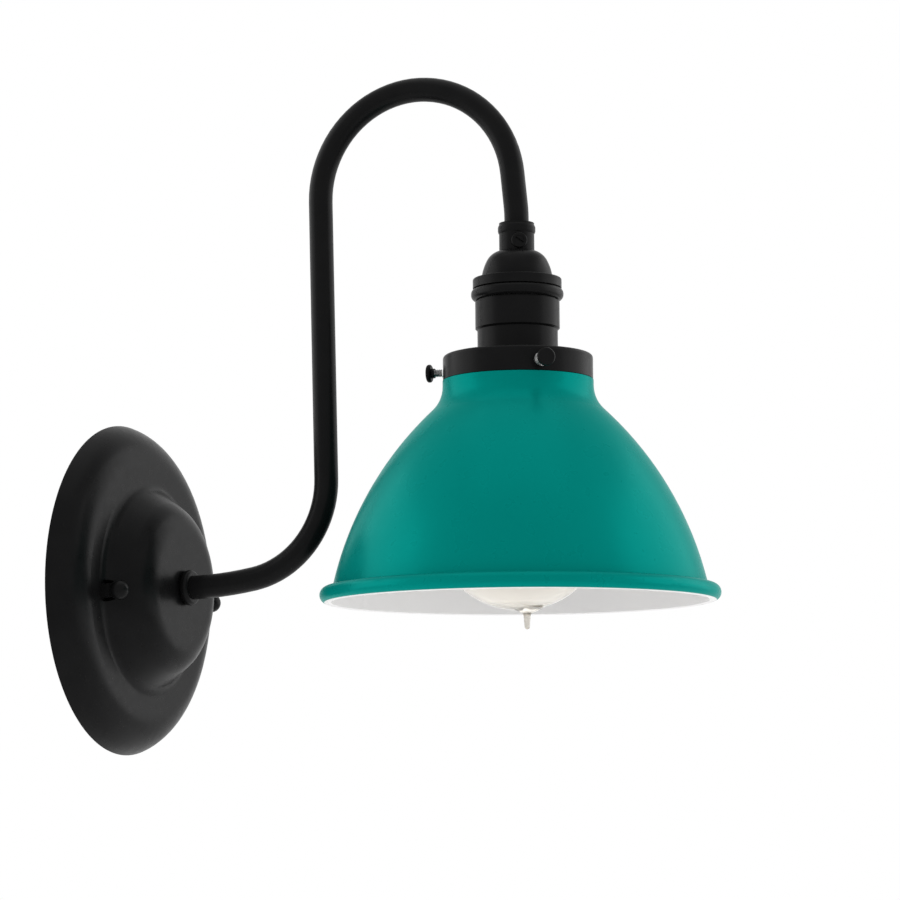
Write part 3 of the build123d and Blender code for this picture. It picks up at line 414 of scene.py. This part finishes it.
def dress_nodes():
    """A material for every solid that stays as it is."""
    dress(satin_black("black_paint"), "canopy", "arm", "arm_collar", "socket_cap", "bead_ring",
          "socket_shell", "shade_holder", "ball_nut_left", "ball_nut_right", "ring_nut")
    dress(satin_black("black_screw_paint", 2500), "set_screw", "thumbscrew_head_1",
          "thumbscrew_head_2", "thumbscrew_head_3")
    dress(plated("bright_plating", (0.84, 0.84, 0.84), (0.9, 0.9, 0.89)), "screw_bushings")
    dress(zinc, "mounting_bar", "lock_washer")
    dress(plated("tin_plating", (0.4, 0.4, 0.39), (0.52, 0.52, 0.5), (0.3, 0.45)),
          "ring_terminal", "neutral_terminal", "neutral_terminal_screw")
    dress(bare_metal("bare_copper", (0.72, 0.33, 0.19), (0.8, 0.42, 0.26), (1, 1, 8)),
          "ground_lead")
    dress(moulded("bushing_plastic", (0.62, 0.62, 0.58), (0.7, 0.7, 0.66)), "wire_bushing")
    dress(moulded("black_insulation", (0.012, 0.012, 0.012), (0.02, 0.02, 0.02)), "hot_lead")
    dress(moulded("white_insulation", (0.68, 0.68, 0.64), (0.76, 0.76, 0.72)), "neutral_lead")
    dress(pressed_fibre("pressed_fibre"), "cap_liner", "shell_sleeve")
    dress(moulded("dark_moulding", (0.02, 0.012, 0.008), (0.035, 0.02, 0.014), (0.2, 0.3)),
          "socket_body")
    dress(base_brass, "screw_shell", "shell_rivets", "contact_root", "centre_contact",
          "contact_rivet", "hot_terminal", "hot_terminal_screw")
    dress(shade_paint(), "shade")
    dress(bulb_glass(), "bulb_glass")
    dress(stem_glass(), "bulb_stem")
    dress(moulded("black_glass", (0.008, 0.008, 0.009), (0.014, 0.014, 0.015), (0.1, 0.2)),
          "bulb_insulator")
    dress(bare_metal("solder", (0.5, 0.5, 0.49), (0.62, 0.62, 0.6), (1, 1, 1)),
          "bulb_foot_contact")
    dress(moulded("carbon", (0.02, 0.018, 0.016), (0.04, 0.036, 0.03), (0.5, 0.7)), "filament")
    dress(bare_metal("fine_wire", (0.5, 0.49, 0.46), (0.6, 0.59, 0.56), (1, 1, 8)),
          "filament_supports", "filament_feed_wires")


# ---------------------------------------------------------------- turned pieces
thread_steps = 8                # rings in each turn of a thread
machine_pitch = 0.0254 / 32     # 32 threads to the inch
bulb_pitch = 0.0254 / 7         # 7 threads to the inch
thread_depth = 0.00042
shank_thread_depth = thread_depth * 0.8
thread_taper = 0.0004
groove_widening = 1.2           # makes the thread's crests and grooves flat
crest_flat = 0.1
nut_bore_gap = 0.0001           # between a nut's bore and what it screws on
nut_lead_in = 0.0003
nut_face_share = 0.97           # of the width across flats, where the turned corners start
corner_slope = radians(28)
jam_nut_flats = 0.0087
lock_nut_flats = 0.0143
pipe_radius = 0.00515
sharp_edge = radians(32)        # edges bent further than this aren't smoothed over
outward_from_wall = (0, -1, 0)


def lathe(name, rings, place, material, segments=48, capped=True):
    """A closed skin through rings. A ring gives (radius, level) for an angle."""
    points = []
    for ring in rings:
        for step in range(segments):
            angle = 2 * pi * step / segments
            radius, level = ring(angle)
            points.append(place @ Vector((radius * cos(angle), radius * sin(angle), level)))
    joins = list(zip(range(len(rings)), range(1, len(rings))))
    if not capped:
        joins.append((len(rings) - 1, 0))
    faces = []
    for step in range(segments):
        after = (step + 1) % segments
        for low, high in joins:
            faces.append((low * segments + step, low * segments + after,
                          high * segments + after, high * segments + step))
    if capped:
        last = (len(rings) - 1) * segments
        faces.append(tuple(reversed(range(segments))))
        faces.append(tuple(range(last, last + segments)))
    mesh = bpy.data.meshes.new(name)
    mesh.from_pydata(points, [], faces)
    mesh.validate()
    mesh.polygons.foreach_set("use_smooth", [True] * len(mesh.polygons))
    mesh.set_sharp_from_angle(angle=sharp_edge)
    mesh.materials.append(material)
    piece = bpy.data.objects.new(name, mesh)
    bpy.context.scene.collection.objects.link(piece)
    return piece


def even(radius, level):
    """A round ring at one level."""
    return lambda angle: (radius, level)


def limited(value):
    """A value kept between 0 and 1."""
    return min(1, max(0, value))


def thread_share(angle, level, pitch):
    """0 on a thread's crest and 1 in its groove, for a right-handed helix."""
    turn = (level / pitch - angle / (2 * pi)) % 1
    return abs(2 * turn - 1)


def threaded_rings(crest, depth, pitch, low, high, taper):
    """Rings of a screw thread from low to high, tapered at both ends."""
    steps = round((high - low) / pitch * thread_steps)

    def ring_at(level):
        def ring(angle):
            groove = limited(groove_widening * thread_share(angle, level, pitch) - crest_flat)
            end = max(0, taper - min(level - low, high - level))
            return min(crest - depth * groove, crest - end), level
        return ring

    return [ring_at(low + (high - low) * step / steps) for step in range(steps + 1)]


def finish_piece(piece, node, body):
    """A piece that takes the place of a plainer solid and moves with its body."""
    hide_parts(node)
    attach(piece, body)


def join(name, pieces):
    """Several meshes as one piece."""
    first, *others = pieces
    mesh = bmesh.new()
    for piece in pieces:
        mesh.from_mesh(piece.data)
    mesh.to_mesh(first.data)
    mesh.free()
    for piece in others:
        bpy.data.objects.remove(piece)
    first.name = name
    return first


def stud_measures():
    """Radius of the canopy's studs and the place of each along X."""
    low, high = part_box("canopy_studs")
    radius = (high.z - low.z) / 2
    return radius, (low.x + radius, high.x - radius)


def outward_place(x, low, high):
    """The place of a piece that starts at the wall side of a box and points away from it."""
    return along(outward_from_wall, (x, high.y, (low.z + high.z) / 2))


def add_studs():
    """Threaded studs of the canopy."""
    low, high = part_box("canopy_studs")
    radius, stud_places = stud_measures()
    length = high.y - low.y
    rings = threaded_rings(radius, thread_depth, machine_pitch, 0, length, thread_taper)
    studs = []
    for x in stud_places:
        studs.append(lathe("stud", rings, outward_place(x, low, high), zinc, segments=32))
    finish_piece(join("threaded_studs", studs), "canopy_studs", "fixture")


def add_shanks():
    """Threaded shanks of the three thumbscrews."""
    for number in (1, 2, 3):
        node = f"thumbscrew_shank_{number}"
        low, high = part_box(node)
        centre = (low + high) / 2
        radius = (high.z - low.z) / 2
        out = centre - socket_axis
        out.z = 0
        out.normalize()
        across = abs(out.x)
        deep = abs(out.y)
        spans = [(across, deep, high.x - low.x), (deep, across, high.y - low.y)]
        major, minor, extent = max(spans)
        # A slanted rod's box also holds the slant of its round ends.
        length = (extent - 2 * radius * minor) / major
        rings = threaded_rings(radius, shank_thread_depth, machine_pitch, 0, length, thread_taper)
        place = along(out, centre - out * length / 2)
        piece = lathe(f"threaded_shank_{number}", rings, place, dark_plating, segments=32)
        finish_piece(piece, node, f"thumb_shank_{number}")


def hexagon_rings(flats, low, high, bore=None):
    """Rings of a hexagon with turned corners, and of its bore."""
    face = flats / 2 * nut_face_share

    def corner(angle):
        return flats / 2 / cos((angle + pi / 6) % (pi / 3) - pi / 6)

    def slope(angle):
        return (corner(angle) - face) * tan(corner_slope)

    rings = [
        even(face, low),
        lambda angle: (corner(angle), low + slope(angle)),
        lambda angle: (corner(angle), high - slope(angle)),
        even(face, high),
    ]
    if bore is not None:
        rings += [even(bore + nut_lead_in, high), even(bore, high - nut_lead_in),
                  even(bore, low + nut_lead_in), even(bore + nut_lead_in, low)]
    return rings


def add_nuts():
    """Hexagon nuts with turned corners: two jam nuts and the arm's lock nut."""
    stud_radius, stud_places = stud_measures()
    low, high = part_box("jam_nuts")
    rings = hexagon_rings(jam_nut_flats, 0, high.y - low.y, stud_radius + nut_bore_gap)
    nuts = []
    for x in stud_places:
        nuts.append(lathe("nut", rings, outward_place(x, low, high), zinc, capped=False))
    finish_piece(join("hexagon_jam_nuts", nuts), "jam_nuts", "fixture")
    low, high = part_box("lock_nut")
    rings = hexagon_rings(lock_nut_flats, 0, high.y - low.y, pipe_radius + nut_bore_gap)
    nut = lathe("hexagon_lock_nut", rings, outward_place(0, low, high), zinc, capped=False)
    finish_piece(nut, "lock_nut", "fixture")


def add_ground_screw():
    """Washer-head screw: thread, flange and hexagon with a dished top."""
    low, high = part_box("ground_screw")
    length = high.y - low.y
    head = 0.0028
    head_flats = 0.007
    flange = 0.0009
    flange_radius = 0.0044
    flange_face_radius = 0.0042
    flange_low_edge = 0.0002
    flange_high_edge = 0.0006
    dish_radius = 0.0022
    dish_floor_radius = 0.0018
    dish_depth = 0.0005
    screw_radius = 0.0024
    thread_end = length - head - flange
    rings = threaded_rings(screw_radius, thread_depth, machine_pitch, 0, thread_end, thread_taper)
    rings += [even(flange_face_radius, thread_end),
              even(flange_radius, thread_end + flange_low_edge),
              even(flange_radius, thread_end + flange_high_edge),
              even(flange_face_radius, thread_end + flange)]
    rings += hexagon_rings(head_flats, thread_end + flange, length)
    rings += [even(dish_radius, length), even(dish_floor_radius, length - dish_depth)]
    place = outward_place((low.x + high.x) / 2, low, high)
    piece = lathe("hexagon_ground_screw", rings, place, green_paint)
    finish_piece(piece, "ground_screw", "fixture")


def add_connectors():
    """Twist-on wire connectors with moulded flutes."""
    low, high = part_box("wire_connectors")
    mouth_radius = 0.0042
    tip_radius = 0.0031
    bore = 0.0016
    bore_depth = 0.009
    rounding = 0.001
    bore_lead_in = 0.0012
    funnel_radius = 0.0034
    funnel_depth = 0.0002
    mouth_edge = 0.0003
    flutes = 12
    flute_depth = 0.00034
    flute_start = 0.16          # shares of the length
    flute_end = 0.92
    flute_run_out = 0.05
    side_steps = 40
    last_side_step = 37         # the rounded tip follows
    rounding_steps = 6
    length = high.z - low.z

    def fluted(share):
        plain = mouth_radius + (tip_radius - mouth_radius) * share
        fade = limited((share - flute_start) / flute_run_out)
        fade *= limited((flute_end - share) / flute_run_out)

        def ring(angle):
            dip = flute_depth * fade * (0.5 + 0.5 * cos(flutes * angle)) ** 2
            return plain - dip, share * length
        return ring

    rings = [even(bore, bore_depth), even(bore, bore_lead_in), even(funnel_radius, funnel_depth),
             even(mouth_radius - mouth_edge, 0), even(mouth_radius, mouth_edge)]
    rings += [fluted(step / side_steps) for step in range(1, last_side_step + 1)]
    for step in range(rounding_steps + 1):
        turn = pi / 2 * step / rounding_steps
        rings.append(even(tip_radius - rounding * (1 - cos(turn)),
                          length - rounding * (1 - sin(turn))))
    pieces = []
    for x in (low.x + mouth_radius, high.x - mouth_radius):
        place = along((0, 0, -1), (x, (low.y + high.y) / 2, high.z))
        pieces.append(lathe("connector", rings, place, orange_plastic, segments=72))
    finish_piece(join("fluted_connectors", pieces), "wire_connectors", "fixture")


def add_bulb_thread():
    """Rolled brass shell of the bulb's base, with its screw thread."""
    low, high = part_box("bulb_base_shell")
    crest = 0.013
    root = 0.0123
    crest_shape = 0.85          # under 1 widens the crests
    plain = 0.0126
    rim_height = 0.001
    rim_run_out = 0.002
    shoulder_run_out = 0.0015
    sheet = 0.0003
    shoulder = 0.003
    top_radius = 0.0096
    lip = 0.0081
    length = high.z - low.z
    wall = length - shoulder
    steps = 56

    def rolled(level, inset):
        fade = limited((level - rim_height) / rim_run_out)
        fade *= limited((wall - level) / shoulder_run_out)

        def ring(angle):
            wave = 0.5 + 0.5 * cos(2 * pi * level / bulb_pitch - angle)
            shaped = root + (crest - root) * wave ** crest_shape
            return plain + (shaped - plain) * fade - inset, level
        return ring

    levels = [wall * step / steps for step in range(steps + 1)]
    rings = [rolled(level, 0) for level in levels]
    rings += [even(top_radius, length), even(lip, length), even(lip, length - sheet),
              even(top_radius - sheet, length - sheet)]
    rings += [rolled(level, sheet) for level in reversed(levels)]
    place = along((0, 0, 1), ((low.x + high.x) / 2, (low.y + high.y) / 2, low.z))
    piece = lathe("rolled_base_thread", rings, place, base_brass, segments=72, capped=False)
    finish_piece(piece, "bulb_base_shell", "bulb")


# ---------------------------------------------------------------- the scene
zinc = plated("zinc_plating", (0.33, 0.345, 0.36), (0.45, 0.455, 0.46), (0.34, 0.5))
dark_plating = plated("dark_plating", (0.24, 0.24, 0.24), (0.31, 0.31, 0.308), (0.3, 0.45))
green_paint = moulded("green_screw_paint", (0.01, 0.16, 0.03), (0.015, 0.22, 0.045))
orange_plastic = moulded("orange_plastic", (0.72, 0.17, 0.01), (0.8, 0.22, 0.02))
base_brass = bare_metal("rolled_brass", (0.72, 0.52, 0.22), (0.8, 0.62, 0.3), (1, 1, 6))

bpy.context.scene.view_settings.view_transform = "Standard"
add_camera()
add_lights()
add_world()
add_floor()
dress_nodes()
add_studs()
add_shanks()
add_nuts()
add_ground_screw()
add_connectors()
add_bulb_thread()
